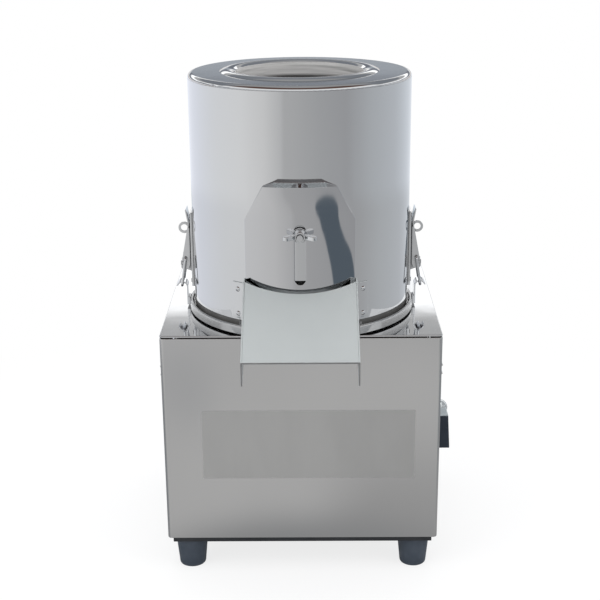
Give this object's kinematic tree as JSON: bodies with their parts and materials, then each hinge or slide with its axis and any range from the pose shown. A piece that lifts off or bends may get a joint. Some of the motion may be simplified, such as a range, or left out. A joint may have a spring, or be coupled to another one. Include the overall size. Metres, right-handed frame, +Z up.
{
  "type": "vegetable chopping machine",
  "caption": "Bench-top electric vegetable chopper: steel motor base on rubber feet, clamped drum with feed mouth, knife spindle, sliding outlet gate under a sloped hood.",
  "frame": {"origin": "on the drum and spindle axis, at the level of the feet's undersides", "axes": "+Z up along the spindle, -Y towards the front outlet, +X to the switch side"},
  "size_m": [0.302, 0.353, 0.5114],
  "materials": {
    "satin_steel": "satin stainless sheet",
    "polished_steel": "mirror-polished stainless",
    "machined_steel": "machined",
    "black_rubber": "matte moulded",
    "black_plastic": "moulded",
    "black_paint": "black paint",
    "clear_plastic": "clear flexible boot",
    "white_plastic": "moulded",
    "dark_iron": "painted and laminated",
    "cast_aluminium": "die cast"
  },
  "bodies": {
    "base": {"front_panel": "satin_steel", "sill_band": "satin_steel", "left_side_panel": "satin_steel", "right_side_panel": "satin_steel", "back_panel": "satin_steel", "top_plate": "polished_steel", "bottom_tray": "black_paint", "rubber_feet": "black_rubber", "foot_screws": "polished_steel", "panel_screws": "polished_steel", "switch_block": "black_plastic", "reset_bushing": "black_plastic", "reset_boot": "clear_plastic", "cable_gland": "black_plastic", "pan": "polished_steel", "drum_seal": "black_rubber", "shaft_seal": "black_rubber", "drum_shell": "polished_steel", "drum_top": "polished_steel", "feed_throat": "polished_steel", "outlet_hood": "satin_steel", "hood_rivets": "polished_steel", "gate_stud": "polished_steel", "gate_washer": "polished_steel", "left_latch_base": "polished_steel", "right_latch_base": "polished_steel", "left_latch_ears": "polished_steel", "right_latch_ears": "polished_steel", "left_latch_pin": "polished_steel", "right_latch_pin": "polished_steel", "left_catch": "polished_steel", "right_catch": "polished_steel", "latch_rivets": "polished_steel", "motor_housing": "dark_iron", "stator_core": "dark_iron", "upper_end_cap": "cast_aluminium", "lower_end_cap": "cast_aluminium", "upper_bearing": "machined_steel", "lower_bearing": "machined_steel", "motor_studs": "machined_steel", "capacitor": "white_plastic", "capacitor_clip": "machined_steel"},
    "spindle": {"spindle": "machined_steel", "rotor_core": "dark_iron", "cooling_fan": "black_plastic", "paddle": "machined_steel", "knife_1": "machined_steel", "knife_2": "machined_steel", "knife_3": "machined_steel", "knife_spacer_1": "machined_steel", "knife_spacer_2": "machined_steel", "lock_nut": "machined_steel"},
    "gate": {"gate": "polished_steel"},
    "wing_nut": {"wing_nut": "polished_steel"},
    "rocker": {"switch_rocker": "black_plastic"},
    "reset_button": {"reset_button": "white_plastic"},
    "left_lever": {"left_lever": "polished_steel"},
    "left_bail": {"left_bail": "polished_steel"},
    "right_lever": {"right_lever": "polished_steel"},
    "right_bail": {"right_bail": "polished_steel"}
  },
  "joints": [
    {"name": "spindle_spin", "type": "hinge", "parent": "base", "child": "spindle", "pos_m": [0, 0, 0.2], "axis": [0, 0, 1], "continuous": true},
    {"name": "gate_slide", "type": "slide", "parent": "base", "child": "gate", "axis": [0, 0, 1], "range_m": [0, 0.044]},
    {"name": "wing_nut_turn", "type": "hinge", "parent": "base", "child": "wing_nut", "pos_m": [0, -0.119, 0.369], "axis": [0, -1, 0], "range_deg": [0, 360]},
    {"name": "rocker_tilt", "type": "hinge", "parent": "base", "child": "rocker", "pos_m": [0.1468, -0.0445, 0.13875], "axis": [0, 1, 0], "range_deg": [0, 14]},
    {"name": "reset_push", "type": "slide", "parent": "base", "child": "reset_button", "axis": [-1, 0, 0], "range_m": [0, 0.003], "stiffness_N_per_m": 400},
    {"name": "left_lever_swing", "type": "hinge", "parent": "base", "child": "left_lever", "pos_m": [-0.1225, 0, 0.311], "axis": [0, -1, 0], "range_deg": [0, 120]},
    {"name": "left_bail_swing", "type": "hinge", "parent": "left_lever", "child": "left_bail", "pos_m": [-0.12, 0, 0.317], "axis": [0, -1, 0], "range_deg": [-102, 0]},
    {"name": "right_lever_swing", "type": "hinge", "parent": "base", "child": "right_lever", "pos_m": [0.1225, 0, 0.311], "axis": [0, 1, 0], "range_deg": [0, 120]},
    {"name": "right_bail_swing", "type": "hinge", "parent": "right_lever", "child": "right_bail", "pos_m": [0.12, 0, 0.317], "axis": [0, 1, 0], "range_deg": [-102, 0]}
  ],
  "couplings": [
    {"joint": "left_bail_swing", "follows": "left_lever_swing", "ratio": -0.85},
    {"joint": "right_bail_swing", "follows": "right_lever_swing", "ratio": -0.85}
  ]
}
